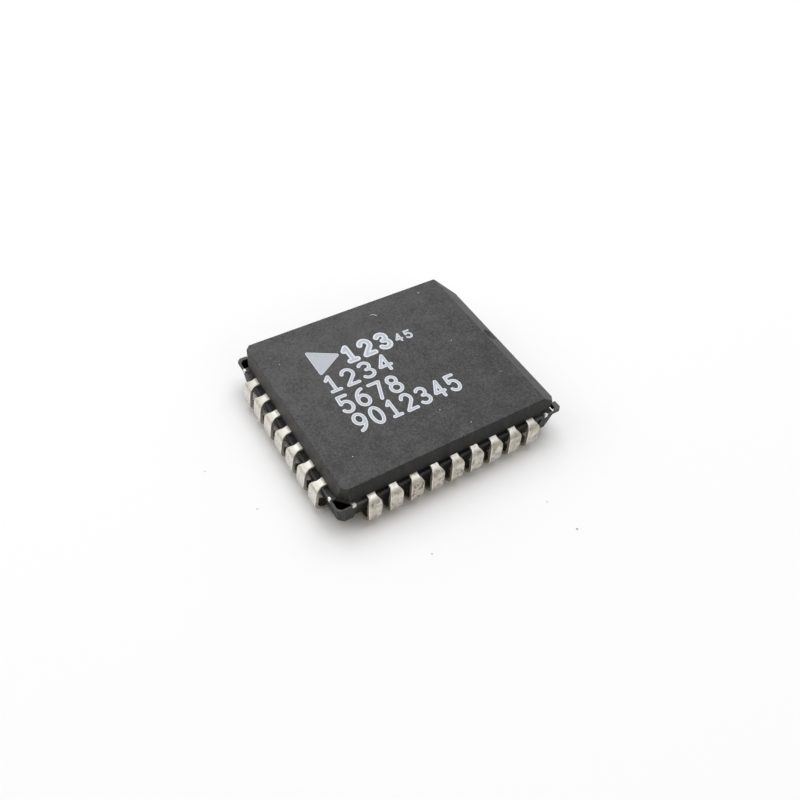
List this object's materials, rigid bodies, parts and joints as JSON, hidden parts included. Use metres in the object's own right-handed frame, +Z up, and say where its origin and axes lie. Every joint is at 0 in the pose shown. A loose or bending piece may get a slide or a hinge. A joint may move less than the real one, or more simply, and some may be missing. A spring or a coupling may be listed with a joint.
{
  "type": "plcc chip",
  "caption": "Rectangular plastic leaded chip carrier: moulded epoxy body with J-bent leads on four sides, for surface mounting or a socket.",
  "frame": {"origin": "centre of the seating plane, under the middle of the body", "axes": "+X along the long axis toward the sloped end with pin 1, +Z up out of the marked top, index chamfer at the +X +Y corner"},
  "size_m": [0.015, 0.0124, 0.0032],
  "materials": {
    "moulded_epoxy": "matte, finely mottled from the mould",
    "tinned_lead": "tin plating over copper alloy, satin",
    "frame_copper": "bare copper alloy",
    "silver_adhesive": "silver-filled epoxy",
    "silicon": "polished silicon"
  },
  "bodies": {
    "root": {"package_body": "moulded_epoxy", "lead_01": "tinned_lead", "lead_02": "tinned_lead", "lead_03": "tinned_lead", "lead_04": "tinned_lead", "lead_05": "tinned_lead", "lead_06": "tinned_lead", "lead_07": "tinned_lead", "lead_08": "tinned_lead", "lead_09": "tinned_lead", "lead_10": "tinned_lead", "lead_11": "tinned_lead", "lead_12": "tinned_lead", "lead_13": "tinned_lead", "lead_14": "tinned_lead", "lead_15": "tinned_lead", "lead_16": "tinned_lead", "lead_17": "tinned_lead", "lead_18": "tinned_lead", "lead_19": "tinned_lead", "lead_20": "tinned_lead", "lead_21": "tinned_lead", "lead_22": "tinned_lead", "lead_23": "tinned_lead", "lead_24": "tinned_lead", "lead_25": "tinned_lead", "lead_26": "tinned_lead", "lead_27": "tinned_lead", "lead_28": "tinned_lead", "lead_29": "tinned_lead", "lead_30": "tinned_lead", "lead_31": "tinned_lead", "lead_32": "tinned_lead", "die_paddle": "frame_copper", "die_attach": "silver_adhesive", "silicon_die": "silicon"}
  },
  "joints": []
}
